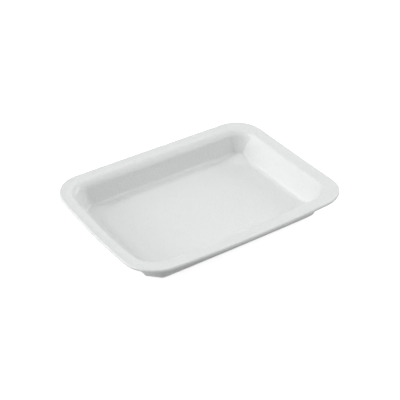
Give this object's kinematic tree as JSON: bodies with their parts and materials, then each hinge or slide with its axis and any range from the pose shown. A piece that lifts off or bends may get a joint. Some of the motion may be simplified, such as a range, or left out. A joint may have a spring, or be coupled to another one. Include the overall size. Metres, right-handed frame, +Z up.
{
  "type": "foam food tray",
  "caption": "Shallow rectangular food tray of white foamed polystyrene, with sloping walls, cut floor corners and a flat flange around the rim.",
  "frame": {"origin": "centre of the tray's length and width, on the flat underside", "axes": "+X along the tray's length, +Y across it, +Z up out of its open top"},
  "size_m": [0.18, 0.136, 0.0235],
  "materials": {
    "foam": "satin"
  },
  "bodies": {
    "root": {"foam_tray": "foam"}
  },
  "joints": []
}
